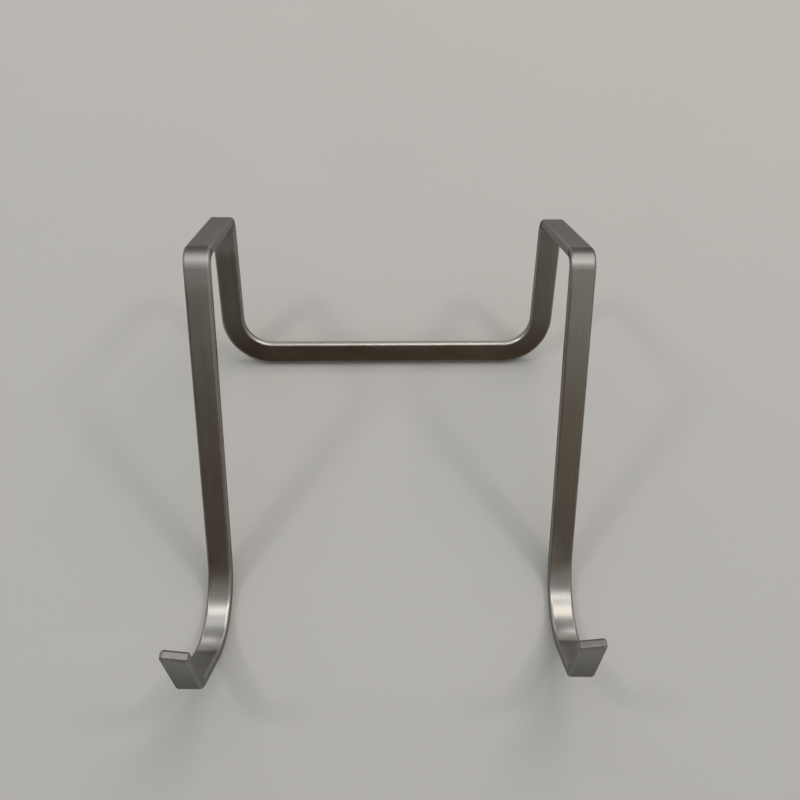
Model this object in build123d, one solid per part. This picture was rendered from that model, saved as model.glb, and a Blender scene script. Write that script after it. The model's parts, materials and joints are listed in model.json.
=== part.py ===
from build123d import *
from math import copysign, cos, radians, sin, tan
import os

# Double over-door hook: one length of flat wire, bent into two bridges that sit on a
# door's top edge, a U-shaped clip behind the door and a pair of hooks in front of it.
# Frame: the part as it hangs. +Z up, hooks towards -Y, +X to the right from the front.
# Origin: on the door's top edge, midway between the bridges and across the slot.

# flat wire
strip_width = 4.0            # across the wide faces
strip_thickness = 1.6        # from one wide face to the other
edge_radius = 0.5            # rolled corners of the section
end_easing = 0.45            # deburred rim of each cut end
end_slant = 14.0             # degrees off square of the shear cut, outer edge longer

# spacing and door slot
leg_spacing = 58.0           # left to right, centre line to centre line
door_gap = 23.0              # between the inner faces, just below the folds
fold_inner_radius = 1.4      # inside of the two folds of each bridge

# clip behind the door
back_splay = 5.4             # degrees that it leans away from the door
back_leg_length = 16.8       # straight, from fold to corner
corner_inner_radius = 5.0    # inside of the corners, which are bent edgewise

# front legs
front_splay = 5.5            # degrees that they lean away from the door
front_leg_length = 49.5      # straight, from fold to throat
leg_twist = 3.2              # degrees along each leg, turning both hooks towards -X

# hooks
throat_inner_radius = 9.2    # inside of the round throat
throat_turn = 101.0          # degrees
shelf_length = 8.6           # straight, from throat to tip bend
tip_inner_radius = 1.2       # inside of the tip bend
tip_turn = 48.0              # degrees
tip_length = 9.8             # straight, from tip bend to the middle of the cut end

# The wire is laid out as a bending machine would feed it. Each step starts on the XY
# plane with the wire running along +Z, its outer wide face towards +Y, and gives the
# solid that it adds and the place where the next step starts.


def wire_section():
    return RectangleRounded(strip_width, strip_thickness, edge_radius)


def run(length):
    """A straight length of wire."""
    return extrude(wire_section(), length), Pos(0, 0, length)


def twisted_run(length, twist):
    """A straight length whose far end is turned about the wire by twist degrees."""
    end = Pos(0, 0, length) * Rot(0, 0, twist)
    return loft([wire_section(), end * wire_section()], ruled=True), end


def cut_end(length):
    """A straight length, sheared off with the +X edge longer, and deburred."""
    reach = strip_width / 2 * tan(radians(end_slant))
    wire = extrude(wire_section(), length + reach)
    shear = Plane(Pos(0, 0, length) * Rot(0, -end_slant, 0))
    wire = split(wire, shear, keep=Keep.BOTTOM)
    rim = wire.faces().sort_by(Axis.Z)[-1].edges()
    return fillet(rim, end_easing), Pos(0, 0, length)


def fold(inner_radius, angle):
    """A bend the easy way: towards the inner face, or the outer one if negative."""
    radius = inner_radius + strip_thickness / 2
    side = copysign(1, angle)
    turn = abs(radians(angle))
    axis = Axis((0, -side * radius, 0), (side, 0, 0))
    end = Pos(0, -side * radius * (1 - cos(turn)), radius * sin(turn)) * Rot(angle, 0, 0)
    return revolve(wire_section(), axis, abs(angle)), end


def edge_bend(inner_radius, angle):
    """A bend the hard way, towards the wire's +X edge."""
    radius = inner_radius + strip_width / 2
    turn = radians(angle)
    axis = Axis((radius, 0, 0), (0, 1, 0))
    end = Pos(radius * (1 - cos(turn)), 0, radius * sin(turn)) * Rot(0, angle, 0)
    return revolve(wire_section(), axis, angle), end


def bend_wire(start, steps):
    """The solid made by a list of steps, laid end to end from a plane."""
    place = start.location
    wire = Part()
    for piece, end in steps:
        wire += place * piece
        place = place * end
    return wire


def right_half(twist):
    """From the right hook's cut end to the middle of the clip's cross bar."""
    front_fold = 90 - front_splay
    back_fold = 90 - back_splay
    front_share = door_gap / 2 - fold_inner_radius * sin(radians(front_fold))
    back_share = door_gap / 2 - fold_inner_radius * sin(radians(back_fold))
    bar_share = leg_spacing / 2 - corner_inner_radius - strip_width / 2
    middle = (leg_spacing / 2, 0, strip_thickness / 2)

    front = [
        run(front_share),
        fold(fold_inner_radius, front_fold),
        twisted_run(front_leg_length, twist),
        fold(throat_inner_radius, -throat_turn),
        run(shelf_length),
        fold(tip_inner_radius, -tip_turn),
        cut_end(tip_length),
    ]
    back = [
        run(back_share),
        fold(fold_inner_radius, back_fold),
        run(back_leg_length),
        edge_bend(corner_inner_radius, 90),
        run(bar_share),
    ]
    forwards = Plane(middle, x_dir=(1, 0, 0), z_dir=(0, -1, 0))
    backwards = Plane(middle, x_dir=(-1, 0, 0), z_dir=(0, 1, 0))
    return bend_wire(forwards, front) + bend_wire(backwards, back)


def hook_strip():
    return right_half(leg_twist) + mirror(right_half(-leg_twist), Plane.YZ)


os.makedirs("parts", exist_ok=True)
export_step(hook_strip(), "parts/hook_strip.step")
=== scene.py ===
import json
import math

import bpy
import numpy as np
from bpy.props import FloatProperty, FloatVectorProperty, PointerProperty
from mathutils import Matrix, Vector


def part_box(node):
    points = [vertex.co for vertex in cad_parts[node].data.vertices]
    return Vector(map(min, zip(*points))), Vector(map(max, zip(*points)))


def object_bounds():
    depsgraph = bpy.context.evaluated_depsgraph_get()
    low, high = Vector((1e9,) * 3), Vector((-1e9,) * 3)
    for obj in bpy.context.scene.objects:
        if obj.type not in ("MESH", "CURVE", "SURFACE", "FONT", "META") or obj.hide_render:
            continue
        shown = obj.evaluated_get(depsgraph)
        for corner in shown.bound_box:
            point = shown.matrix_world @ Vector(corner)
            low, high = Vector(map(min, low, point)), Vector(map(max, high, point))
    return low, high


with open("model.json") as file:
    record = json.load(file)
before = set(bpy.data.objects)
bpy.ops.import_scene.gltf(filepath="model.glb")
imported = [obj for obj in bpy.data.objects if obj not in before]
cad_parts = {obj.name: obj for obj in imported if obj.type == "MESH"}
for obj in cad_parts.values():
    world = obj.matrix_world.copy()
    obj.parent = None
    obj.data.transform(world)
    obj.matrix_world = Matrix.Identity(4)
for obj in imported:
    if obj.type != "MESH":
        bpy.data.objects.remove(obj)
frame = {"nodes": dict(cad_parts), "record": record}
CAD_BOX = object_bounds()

bl_info = {
    "name": "Over-door hook",
    "version": (1, 0, 0),
    "blender": (4, 5, 0),
    "location": "3D View > Sidebar > Hook",
    "description": "Dresses a bent flat-wire hook in satin steel and sets it on a studio floor",
    "category": "Object",
}

MM = 0.001
MOUNTS = {mount["name"]: Vector(mount["pos_m"]) / MM for mount in frame["record"]["mounts"]}


# ---------------------------------------------------------------- sizes, finish and studio

class HookSizes(bpy.types.PropertyGroup):
    """Sizes of the bent wire that the finish follows, in millimetres and degrees"""

    leg_x: FloatProperty(
        name="Leg centre line", description="Distance from the middle to each leg, in mm",
        default=MOUNTS["right_seat"].x)
    strip_width: FloatProperty(
        name="Wire width", description="Across the wide faces, in mm", default=4.0)
    strip_thickness: FloatProperty(
        name="Wire thickness", description="Between the wide faces, in mm", default=1.6)
    rolled_radius: FloatProperty(
        name="Rolled corners", description="Radius of the wire's own corners, in mm",
        default=0.5)
    corner_radius: FloatProperty(
        name="Clip corner radius", description="Centre-line radius of the clip's corners, in mm",
        default=7.0)
    bar_height: FloatProperty(
        name="Bar height", description="Centre line of the clip's cross bar, in mm",
        default=-24.9)
    back_splay: FloatProperty(
        name="Clip splay", description="Lean of the clip away from the door",
        default=math.radians(5.4), subtype="ANGLE")
    front_splay: FloatProperty(
        name="Leg splay", description="Lean of the front legs away from the door",
        default=math.radians(5.5), subtype="ANGLE")
    leg_twist: FloatProperty(
        name="Leg twist", description="Turn of both hooks about their legs",
        default=math.radians(3.2), subtype="ANGLE")
    throat_radius: FloatProperty(
        name="Throat radius", description="Centre-line radius of the throats, in mm",
        default=10.0)
    fold_radius: FloatProperty(
        name="Fold radius", description="Centre-line radius of the bridge folds, in mm",
        default=2.2)
    tip_rise: FloatProperty(
        name="Tip rise", description="Angle of the tips above the horizon",
        default=math.radians(64.5), subtype="ANGLE")
    tip_end: FloatVectorProperty(
        name="Tip end", description="Centre of a cut end, front to back and up, in mm",
        size=2, default=(-43.49, -46.76))
    end_slant: FloatProperty(
        name="End slant", description="Slant of the cut ends, outer edge longer",
        default=math.radians(14.0), subtype="ANGLE")
    door_gap: FloatProperty(
        name="Door slot", description="Between the inner faces under the folds, in mm",
        default=23.0)


class SteelFinish(bpy.types.PropertyGroup):
    """Colour, grain and wear of the satin steel, and the light and shade painted into its colour
    """

    steel: FloatVectorProperty(
        name="Steel", description="Colour of the clean satin steel", subtype="COLOR",
        default=(0.25, 0.245, 0.235), min=0, max=1)
    # Painted dark brown reflection, mixed in low on the wire.
    brown_reflection: FloatVectorProperty(
        name="Brown reflection", description="Colour of the dark brown reflection painted low on the wire",
        subtype="COLOR", default=(0.145, 0.112, 0.083), min=0, max=1)
    sheared: FloatVectorProperty(
        name="Sheared end", description="Colour of the cut ends", subtype="COLOR",
        default=(0.092, 0.090, 0.086), min=0, max=1)
    sheared_roughness: FloatProperty(
        name="Sheared roughness", description="Roughness of the cut ends", default=0.36,
        min=0, max=1, subtype="FACTOR")
    # Rubbed edges are wear; the same colour is also painted as a highlight on the tips and
    # cut-end rims.
    edge_wear_and_highlight: FloatVectorProperty(
        name="Edge wear and highlight", description="Colour of the rubbed edges, and of the highlight painted on the tips and cut-end rims", subtype="COLOR",
        default=(0.36, 0.355, 0.34), min=0, max=1)
    # Painted bright reflection in the throats.
    throat_glare_colour: FloatVectorProperty(
        name="Throat reflection", description="Colour of the bright reflection painted in the throats",
        subtype="COLOR", default=(0.52, 0.50, 0.485), min=0, max=1)
    roughness: FloatProperty(
        name="Roughness", description="Roughness of the satin faces", default=0.295,
        min=0, max=1, subtype="FACTOR")
    edge_roughness: FloatProperty(
        name="Edge roughness", description="Roughness of the rubbed edges", default=0.285,
        min=0, max=1, subtype="FACTOR")
    grain_pitch: FloatProperty(
        name="Grain pitch", description="Spacing of the fine lengthwise lines, in mm",
        default=0.09)
    grain_length: FloatProperty(
        name="Grain length", description="Length of the fine lines, in mm", default=9.0)
    mark_pitch: FloatProperty(
        name="Drawing mark pitch", description="Spacing of the drawing marks, in mm",
        default=0.45)
    mark_length: FloatProperty(
        name="Drawing mark length", description="Length of the drawing marks, in mm",
        default=30.0)
    mottle_size: FloatProperty(
        name="Mottle size", description="Size of the cloudy patches in the finish, in mm",
        default=2.6)
    wave_size: FloatProperty(
        name="Wave size", description="Size of the faint waves of the wide faces, in mm",
        default=5.0)


class StudioLook(bpy.types.PropertyGroup):
    """Floor, light and camera"""

    floor_colour: FloatVectorProperty(
        name="Floor", description="Colour of the plain floor", subtype="COLOR",
        default=(0.53, 0.525, 0.505), min=0, max=1)
    backdrop: FloatVectorProperty(
        name="Backdrop", description="Plain surroundings, as the camera and the steel see them",
        subtype="COLOR", default=(0.72, 0.72, 0.71), min=0, max=1)
    fill: FloatVectorProperty(
        name="Fill light", description="Soft light that comes from all round", subtype="COLOR",
        default=(0.45, 0.45, 0.45), min=0, max=1)
    screen_foot: FloatVectorProperty(
        name="Screen foot", description="Foot of the grey screen on the camera's side",
        subtype="COLOR", default=(0.062, 0.044, 0.031), min=0, max=1)
    screen_waist: FloatVectorProperty(
        name="Screen waist", description="Middle of the grey screen on the camera's side",
        subtype="COLOR", default=(0.31, 0.272, 0.222), min=0, max=1)
    screen_head: FloatVectorProperty(
        name="Screen head", description="Top of the grey screen on the camera's side",
        subtype="COLOR", default=(0.60, 0.57, 0.485), min=0, max=1)
    azimuth: FloatProperty(
        name="Azimuth", description="0 looks along +Y and 90 along -X",
        default=math.radians(-4.12), subtype="ANGLE")
    elevation: FloatProperty(
        name="Elevation", description="Angle above the hook's own horizon",
        default=math.radians(24.43), subtype="ANGLE")
    roll: FloatProperty(
        name="Roll", description="Turn of the camera about its own axis",
        default=math.radians(1.245), subtype="ANGLE")
    distance: FloatProperty(
        name="Distance", description="From the camera to the point it is aimed at",
        default=0.13008, unit="LENGTH")
    aim_offset: FloatVectorProperty(
        name="Aim offset", description="From the middle of the hook's box to the aim point",
        default=(0.00588, 0.00240, 0.00620), subtype="TRANSLATION")
    lens: FloatProperty(
        name="Lens", description="Focal length on a 36 mm sensor", default=36.0,
        unit="CAMERA")
    shift: FloatProperty(
        name="Shift", description="Sideways lens shift, as a share of the picture's width",
        default=-0.03)


# The floor is whole as far as the fade and gone at the reach, in metres.
FLOOR_FADE = 0.2
FLOOR_REACH = 0.7

# Where each lamp hangs, from the hook and above the floor it leans on: X to the right, Y
# away from the camera, Z up from the floor. Distances and sizes are in metres. The two
# strips are seen only by the steel: one close overhead and one along the far horizon.
LAMPS = {
    "near_strip": dict(
        direction=(-0.077, 0.150, 0.986), distance=0.143, size=(0.187, 0.038), radiance=4.6,
        colour=(1.0, 1.0, 1.0), slant=math.radians(-16), lights_floor=False),
    "far_strip": dict(
        direction=(0.1, 1.0, 0.026), distance=0.28, size=(0.9, 0.05), radiance=2.4,
        colour=(1.0, 0.95, 0.95), lights_floor=False),
    "cream_softbox": dict(
        direction=(0.30, 0.59, 0.76), distance=0.8, size=(0.45, 0.39), radiance=3.6,
        colour=(1.0, 0.94, 0.85)),
    "pale_softbox": dict(
        direction=(-0.30, 0.67, 0.68), distance=0.8, size=(0.40, 0.26), radiance=1.4,
        colour=(1.0, 0.99, 0.96)),
    "left_lamp": dict(
        direction=(-0.55, 0.15, 0.8), distance=0.5, size=(0.07, 0.07), radiance=17.0,
        colour=(1.0, 0.98, 0.95)),
    "right_lamp": dict(
        direction=(0.55, 0.15, 0.8), distance=0.5, size=(0.07, 0.07), radiance=17.0,
        colour=(1.0, 0.98, 0.95)),
}


# ------------------------------------------------------------------------- shader maths

class Term:
    """A shader socket that is worked with like a number: every operator adds a Math node."""

    def __init__(self, shade, socket):
        self.shade = shade
        self.socket = socket

    def __add__(self, other):
        return self.shade.maths("ADD", self, other)

    def __sub__(self, other):
        return self.shade.maths("SUBTRACT", self, other)

    def __rsub__(self, other):
        return self.shade.maths("SUBTRACT", other, self)

    def __mul__(self, other):
        return self.shade.maths("MULTIPLY", self, other)

    def __truediv__(self, other):
        return self.shade.maths("DIVIDE", self, other)

    def __pow__(self, other):
        return self.shade.maths("POWER", self, other)

    def __gt__(self, other):
        return self.shade.maths("GREATER_THAN", self, other)

    def __abs__(self):
        return self.shade.maths("ABSOLUTE", self)

    __radd__ = __add__
    __rmul__ = __mul__


class Shade:
    """A node tree that is written as expressions."""

    def __init__(self, owner):
        owner.use_nodes = True
        self.tree = owner.node_tree
        self.tree.nodes.clear()

    def node(self, kind, sockets=None, output=0, **settings):
        """Adds a node: its settings first, then the values or links of its sockets."""
        node = self.tree.nodes.new(kind)
        for name, value in settings.items():
            setattr(node, name, value)
        for key, value in (sockets or {}).items():
            socket = node.inputs[key]
            if isinstance(value, Term):
                self.tree.links.new(value.socket, socket)
            else:
                socket.default_value = value
        return Term(self, node.outputs[output]) if node.outputs else None

    def maths(self, operation, *values):
        return self.node("ShaderNodeMath", dict(enumerate(values)), operation=operation)

    def smooth(self, value, start, end):
        """0 before start, 1 past end, with an S-curve between; start may be the larger."""
        return self.node(
            "ShaderNodeMapRange", {"Value": value, "From Min": start, "From Max": end},
            interpolation_type="SMOOTHSTEP")

    def split(self, vector):
        """The three numbers of a vector."""
        return [self.node("ShaderNodeSeparateXYZ", {0: vector}, output=i) for i in range(3)]

    def scaled(self, vector, factor):
        """A vector or a colour times a number."""
        return self.node(
            "ShaderNodeVectorMath", {0: vector, "Scale": factor}, operation="SCALE")

    def dot(self, vector, other):
        return self.node(
            "ShaderNodeVectorMath", {0: vector, 1: other}, output=1, operation="DOT_PRODUCT")

    def noise(self, vector, size, detail=2.0, seed=0.0, across=None):
        """Cloudy noise about 0, mostly within 0.25, with features of the given size. With
        across, the place across the lines over their pitch, it is drawn out into lines."""
        coordinate = self.scaled(vector, 1 / size)
        lines = seed if across is None else across + seed
        return self.node(
            "ShaderNodeTexNoise",
            {"Vector": coordinate, "W": lines, "Scale": 1.0, "Detail": detail},
            noise_dimensions="4D") - 0.5

    def blend(self, factor, first, second):
        """A colour between two colours."""
        return self.node(
            "ShaderNodeMix", {"Factor": factor, 6: first, 7: second}, output=2,
            data_type="RGBA")


def rgba(colour):
    return (*colour, 1)


# ------------------------------------------------------------------------- the wire's steel

def wire_place(shade, sizes):
    """Where a point lies on the wire, in mm: its position, how far it is from the centre
    line across the wide face, and how far in front of the leg's plane it is.

    Across is measured sideways in the bridges, legs and hooks, after the hooks' turn is
    taken out. In the clip it is the distance to a rounded corner's centre, less the
    radius, measured in the plane of the clip, so that it runs round the corners."""
    coordinates = shade.node("ShaderNodeTexCoord", output=3)
    position = shade.scaled(coordinates, 1 / MM)
    x, y, z = shade.split(position)

    throat = MOUNTS["right_hook"]
    leg_y = throat.y + sizes.throat_radius * math.cos(sizes.front_splay)
    leg_z = throat.z + sizes.throat_radius
    forward = ((leg_y - y) * math.cos(sizes.front_splay)
               + (z - leg_z) * math.sin(sizes.front_splay))
    hook_turn = shade.maths("MAXIMUM", forward, 0) * math.tan(sizes.leg_twist)
    side = abs(x + hook_turn) - (sizes.leg_x - sizes.corner_radius)

    bar_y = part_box("hook_strip")[1].y / MM - sizes.strip_thickness / 2
    down = ((y - bar_y) * math.sin(sizes.back_splay)
            - (z - sizes.bar_height) * math.cos(sizes.back_splay))
    drop = shade.maths("MAXIMUM", down + sizes.corner_radius, 0) * (y > sizes.door_gap / 4)
    reach = shade.maths("MAXIMUM", side, 0)
    across = (reach * reach + drop * drop) ** 0.5 - sizes.corner_radius
    return position, across, forward


def past_the_cut(shade, sizes, position, across):
    """How far a point lies beyond the plane of its cut end, in mm. The plane is across the
    tip's own direction, slanted so that the outer edge is longer."""
    along = Vector((0, -math.cos(sizes.tip_rise), math.sin(sizes.tip_rise)))
    reach = along.dot((0, *sizes.tip_end))
    side = shade.maths("SIGN", shade.split(position)[0])
    slope = math.tan(sizes.end_slant) - side * (along.y * math.sin(sizes.leg_twist))
    return shade.dot(position, along) - across * slope - reach


def satin_steel(sizes, finish):
    """Satin steel: dark, slightly warm, with fine lengthwise lines, long drawing marks,
    rubbed edges and duller bends, most so on the left. Painted into its colour are a
    cloudy brown reflection low on the wire, a bright reflection in the throats, a highlight
    on the tips and cut-end rims, and dark reflection at the start of the folds."""
    material = bpy.data.materials.new("satin_steel")
    shade = Shade(material)
    position, across, forward = wire_place(shade, sizes)
    x, y, z = shade.split(position)

    grain = shade.noise(position, finish.grain_length, 3.0, 1.7, across / finish.grain_pitch)
    marks = shade.noise(position, finish.mark_length, 2.0, 9.2, across / finish.mark_pitch)
    mottle = shade.noise(position, finish.mottle_size, 3.0, 4.4)
    clouds = shade.noise(position, 14.0, 2.0, 6.1)
    waves = shade.noise(position, finish.wave_size, 1.0, 2.3)

    flat_half = sizes.strip_width / 2 - sizes.rolled_radius
    edge = shade.smooth(abs(across) + mottle * 0.5, flat_half - 0.05, flat_half + 0.4)
    inner_radius = sizes.fold_radius - sizes.strip_thickness / 2
    past_fold = abs(y) - (sizes.door_gap / 2 - inner_radius)
    above_fold = z + inner_radius
    from_fold = (past_fold * past_fold + above_fold * above_fold) ** 0.5
    left = shade.smooth(x, 5, -5)
    bend = shade.smooth(from_fold + mottle, 5.5, 2.5) * shade.smooth(past_fold, -0.8, 0.8)
    edge = edge * (1 - bend * 0.7)
    # Painted dark reflection: the colour is darkened where each fold begins, just past the
    # bridge.
    fold_shade = (shade.smooth(past_fold, -0.4, 0.3) * shade.smooth(past_fold, 2.9, 1.2)
               * shade.smooth(z, -0.6, 0.4))

    # Painted dark reflection: the colour turns browner and darker low on the wire, more at the
    # back, in cloudy patches; it also adds a little roughness.
    behind = shade.smooth(y, 4, 8)
    low = shade.smooth(z + clouds * 14, -8 - behind * 9, -26) * shade.smooth(forward, 6, 1)
    brown_reflection = low * (0.4 + behind * 0.55 + clouds * 0.4)
    # Painted reflection: a bright, neutral patch low in each throat, kept off the edges.
    throat = MOUNTS["right_hook"]
    past_throat = throat.y - y + mottle * 0.4
    throat_glare = (shade.smooth(past_throat, -0.8, 1.1) * shade.smooth(past_throat, 3.2, 2.1)
            * shade.smooth(z, throat.z - 0.9, throat.z - 0.3) * (1 - edge))
    past_end = past_the_cut(shade, sizes, position, across) + mottle * 0.06
    at_tip = forward > 15
    # Painted highlight: the rounded rim round each cut end takes the lighter edge colour.
    rim = shade.smooth(past_end, -0.75, -0.4) * at_tip
    cut = shade.smooth(past_end, -0.11, -0.03) * at_tip

    # Lightness carries the steel's grain and marks, and the painted dark reflection at the fold
    # starts.
    lightness = (1 + marks * 0.22 + grain * 0.16 + mottle * 0.14) * (1 - fold_shade * 0.7)
    colour = shade.blend(brown_reflection, rgba(finish.steel), rgba(finish.brown_reflection))
    colour = shade.scaled(colour, lightness)
    # The edges take the lighter colour as rubbed wear; the tips, from 22 mm forward, take it as
    # a painted highlight.
    rubbed = shade.maths("MAXIMUM", edge * 0.7, shade.smooth(forward, 22, 27))
    colour = shade.blend(rubbed, colour, rgba(finish.edge_wear_and_highlight))
    colour = shade.blend(throat_glare * 0.95, colour, rgba(finish.throat_glare_colour))
    colour = shade.blend(rim * 0.9, colour, rgba(finish.edge_wear_and_highlight))
    colour = shade.blend(cut, colour, rgba(finish.sheared))

    roughness = (finish.roughness + mottle * 0.10 + marks * 0.07 + grain * 0.05 + brown_reflection * 0.02)
    roughness = roughness + (finish.edge_roughness - roughness) * edge
    roughness = shade.maths("MAXIMUM", roughness, 0.28) + bend * (0.17 + left * 0.13)
    roughness = roughness + (0.3 - roughness) * rim
    roughness = roughness + (finish.sheared_roughness - roughness) * cut

    tears = shade.noise(position, 0.9, 2.0, 3.1) + 0.5
    height = (grain * 0.0022 + marks * 0.004 + mottle * 0.003 + waves * 0.02
              + tears * cut * 0.05)
    bump = shade.node(
        "ShaderNodeBump", {"Strength": 1.0, "Distance": MM, "Height": height})

    steel = shade.node(
        "ShaderNodeBsdfPrincipled",
        {"Base Color": colour, "Metallic": 1.0, "Roughness": roughness, "Normal": bump,
         "Specular Tint": (0.45, 0.45, 0.45, 1)})
    shade.node("ShaderNodeOutputMaterial", {"Surface": steel})
    return material


class HOOK_OT_dress_strip(bpy.types.Operator):
    """Gives the bent wire its satin steel"""

    bl_idname = "over_door_hook.dress_strip"
    bl_label = "Dress the bent wire"

    def execute(self, context):
        scene = context.scene
        strip = frame["nodes"]["hook_strip"]
        steel = satin_steel(scene.hook_sizes, scene.steel_finish)
        for slot in strip.material_slots:
            slot.material = steel
        return {"FINISHED"}


# ---------------------------------------------------------------------------- the stage

def resting_tilt():
    """The tilt and offset of the floor that the hook leans on when it is laid on its back:
    the plane that touches the clip's bar and both throats. It is the tilt at which the
    lowest point of the front half and that of the back half are level."""
    mesh = frame["nodes"]["hook_strip"].data
    points = np.empty(len(mesh.vertices) * 3, np.float32)
    mesh.vertices.foreach_get("co", points)
    points = points.reshape(-1, 3)
    tilts = np.radians(np.linspace(30, 55, 501))
    downs = np.stack([np.zeros_like(tilts), np.sin(tilts), -np.cos(tilts)])
    depths = points @ downs
    front = points[:, 1] < 0
    uneven = abs(depths[front].max(0) - depths[~front].max(0))
    best = uneven.argmin()
    return tilts[best], depths[:, best].max()


def floor_material(look, centre):
    """Plain matt floor. It fades out far from the hook, and from underneath it is seen
    through, so that no view of the hook is blocked."""
    material = bpy.data.materials.new("studio_floor")
    shade = Shade(material)
    position = shade.node("ShaderNodeTexCoord", output=3)
    pale = shade.scaled(look.floor_colour[:], 1 + shade.noise(position, 0.05) * 0.04)
    matt = shade.node("ShaderNodeBsdfDiffuse", {"Color": pale})
    clear = shade.node("ShaderNodeBsdfTransparent")
    from_below = shade.node("ShaderNodeNewGeometry", output=6)
    away = shade.node(
        "ShaderNodeVectorMath", {0: position, 1: centre}, output=1, operation="DISTANCE")
    unseen = shade.maths("MAXIMUM", from_below, shade.smooth(away, FLOOR_FADE, FLOOR_REACH))
    surface = shade.node("ShaderNodeMixShader", {0: unseen, 1: matt, 2: clear})
    shade.node("ShaderNodeOutputMaterial", {"Surface": surface})
    return material


def lay_floor(look, turn, offset, middle):
    """A large flat square, tilted as the hook leans on it."""
    up = turn @ Vector((0, 0, 1))
    centre = middle - up * (middle.dot(up) + offset)
    corners = [centre + turn @ Vector((sx, sy, 0)) * FLOOR_REACH
               for sx, sy in ((-1, -1), (1, -1), (1, 1), (-1, 1))]
    mesh = bpy.data.meshes.new("floor")
    mesh.from_pydata(corners, [], [(0, 1, 2, 3)])
    floor = bpy.data.objects.new("floor", mesh)
    floor.data.materials.append(floor_material(look, centre))
    bpy.context.scene.collection.objects.link(floor)


def hang_lamp(name, turn, middle, direction, distance, size, radiance, colour, slant=0.0,
              lights_floor=True):
    """A rectangular soft lamp that faces the hook, turned by slant in its own plane. Its
    power gives the stated radiance."""
    light = bpy.data.lights.new(name, "AREA")
    light.shape = "RECTANGLE"
    light.size, light.size_y = size
    light.energy = radiance * math.pi * size[0] * size[1]
    light.color = colour
    lamp = bpy.data.objects.new(name, light)
    towards = (turn @ Vector(direction)).normalized()
    across = turn @ Vector((1, 0, 0))
    side = (across - towards * across.dot(towards)).normalized()
    facing = Matrix((side, towards.cross(side), towards)).transposed()
    lamp.matrix_world = (
        Matrix.Translation(middle + towards * distance)
        @ (facing @ Matrix.Rotation(slant, 3, "Z")).to_4x4())
    lamp.visible_camera = False
    lamp.visible_diffuse = lights_floor
    bpy.context.scene.collection.objects.link(lamp)


def stand_screen(look, turn, middle):
    """A curved grey screen round the camera's side, which only reflections see. It keeps
    the front faces of the steel dark, darkest at the foot.

    A point of the screen is radius * (sin u, -cos u) round the middle and v up from the
    floor, for u from left to right and v from foot to head."""
    radius, height, foot = 0.5, 0.62, -0.04
    u = np.radians(np.linspace(-85, 85, 35))
    v = np.linspace(0, 1, 13)
    u, v = np.meshgrid(u, v)
    points = np.stack([radius * np.sin(u), -radius * np.cos(u), foot + height * v], -1)
    turned = points.reshape(-1, 3) @ np.array(turn.transposed()) + np.array(middle)
    rows, columns = u.shape
    corner = (np.arange(rows - 1)[:, None] * columns + np.arange(columns - 1)).ravel()
    faces = np.stack([corner, corner + 1, corner + columns + 1, corner + columns], 1)
    mesh = bpy.data.meshes.new("grey_screen")
    mesh.from_pydata(turned.tolist(), [], faces.tolist())
    mesh.shade_smooth()
    screen = bpy.data.objects.new("grey_screen", mesh)

    material = bpy.data.materials.new("grey_screen")
    shade = Shade(material)
    position = shade.node("ShaderNodeTexCoord", output=3)
    up = turn @ Vector((0, 0, 1))
    rise = shade.dot(position, up) - middle.dot(up)
    colour = shade.blend(
        shade.smooth(rise, 0.065, 0.115), rgba(look.screen_foot), rgba(look.screen_waist))
    colour = shade.blend(shade.smooth(rise, 0.22, 0.5), colour, rgba(look.screen_head))
    lightness = shade.maths("MAXIMUM", 1 + shade.split(position)[0] * (0.8 / radius), 0.75)
    glow = shade.node("ShaderNodeEmission", {"Color": shade.scaled(colour, lightness)})
    shade.node("ShaderNodeOutputMaterial", {"Surface": glow})
    mesh.materials.append(material)
    bpy.context.scene.collection.objects.link(screen)
    screen.visible_camera = False
    screen.visible_diffuse = False
    screen.visible_shadow = False


def room_light(look):
    """A plain room: the camera and the steel see the pale backdrop, and everything else
    gets its soft fill."""
    world = bpy.data.worlds.new("studio_room")
    bpy.context.scene.world = world
    shade = Shade(world)
    camera_ray, glossy_ray, clear_ray = (
        shade.node("ShaderNodeLightPath", output=name)
        for name in ("Is Camera Ray", "Is Glossy Ray", "Is Transmission Ray"))
    seen = shade.maths("MAXIMUM", shade.maths("MAXIMUM", camera_ray, glossy_ray), clear_ray)
    colour = shade.blend(seen, rgba(look.fill), rgba(look.backdrop))
    light = shade.node("ShaderNodeBackground", {"Color": colour, "Strength": 1.0})
    shade.node("ShaderNodeOutputWorld", {"Surface": light})


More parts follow.
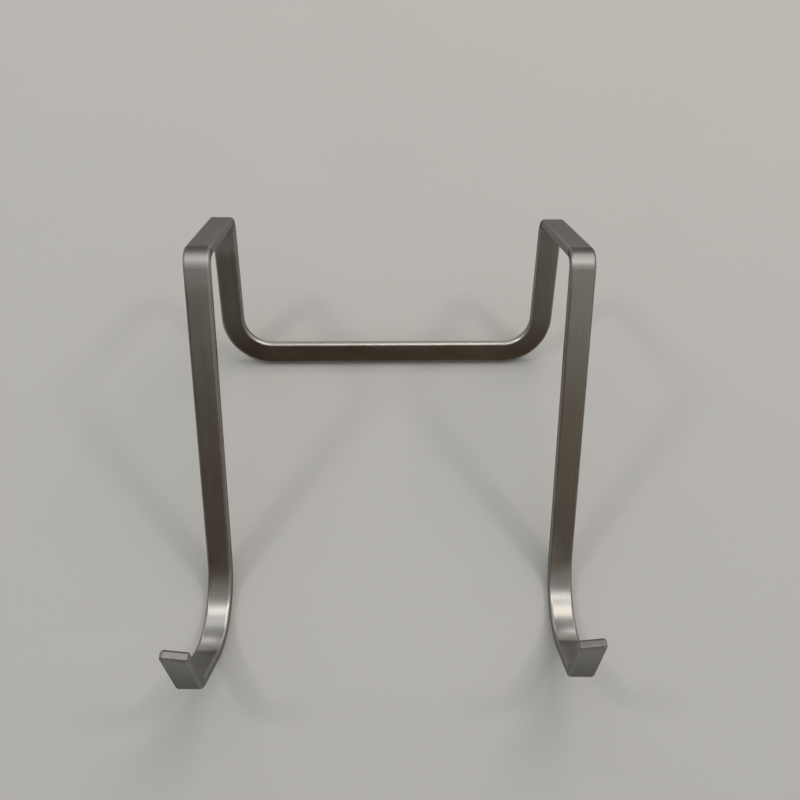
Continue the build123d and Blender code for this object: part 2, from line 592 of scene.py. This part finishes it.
def place_camera(look, middle):
    """A camera that looks down at the hook, aimed just off the middle of its box."""
    data = bpy.data.cameras.new("camera")
    data.sensor_width = 36.0
    data.lens = look.lens
    data.shift_x = look.shift
    data.clip_start, data.clip_end = 0.01, 20.0
    camera = bpy.data.objects.new("camera", data)
    a, e = look.azimuth, look.elevation
    back = Vector((math.sin(a) * math.cos(e), -math.cos(a) * math.cos(e), math.sin(e)))
    level = (-back).to_track_quat("-Z", "Y").to_matrix()
    camera.matrix_world = (
        Matrix.Translation(middle + Vector(look.aim_offset) + back * look.distance)
        @ (level @ Matrix.Rotation(look.roll, 3, "Z")).to_4x4())
    bpy.context.scene.collection.objects.link(camera)
    bpy.context.scene.camera = camera


class HOOK_OT_set_stage(bpy.types.Operator):
    """Lays the floor, hangs the lamps and places the camera"""

    bl_idname = "over_door_hook.set_stage"
    bl_label = "Set the stage"

    def execute(self, context):
        look = context.scene.studio_look
        middle = (CAD_BOX[0] + CAD_BOX[1]) / 2
        tilt, offset = resting_tilt()
        turn = Matrix.Rotation(tilt, 3, "X")
        lay_floor(look, turn, offset, middle)
        for name, lamp in LAMPS.items():
            hang_lamp(name, turn, middle, **lamp)
        stand_screen(look, turn, middle)
        room_light(look)
        place_camera(look, middle)
        context.scene.view_settings.view_transform = "Standard"
        return {"FINISHED"}


class HOOK_PT_panel(bpy.types.Panel):
    """Lists the steps that dress the hook"""

    bl_idname = "HOOK_PT_panel"
    bl_label = "Over-door hook"
    bl_space_type = "VIEW_3D"
    bl_region_type = "UI"
    bl_category = "Hook"

    def draw(self, context):
        layout = self.layout
        for operator in OPERATORS:
            layout.operator(operator.bl_idname)
        for group in (context.scene.hook_sizes, context.scene.steel_finish,
                      context.scene.studio_look):
            box = layout.box()
            for name in group.__annotations__:
                box.prop(group, name)


GROUPS = (HookSizes, SteelFinish, StudioLook)
OPERATORS = (HOOK_OT_dress_strip, HOOK_OT_set_stage)


def register():
    for group in (*GROUPS, *OPERATORS, HOOK_PT_panel):
        bpy.utils.register_class(group)
    bpy.types.Scene.hook_sizes = PointerProperty(type=HookSizes)
    bpy.types.Scene.steel_finish = PointerProperty(type=SteelFinish)
    bpy.types.Scene.studio_look = PointerProperty(type=StudioLook)


def unregister():
    del bpy.types.Scene.hook_sizes, bpy.types.Scene.steel_finish, bpy.types.Scene.studio_look
    for group in reversed((*GROUPS, *OPERATORS, HOOK_PT_panel)):
        bpy.utils.unregister_class(group)


def main():
    register()
    bpy.ops.over_door_hook.dress_strip()
    bpy.ops.over_door_hook.set_stage()


if __name__ == "__main__":
    main()
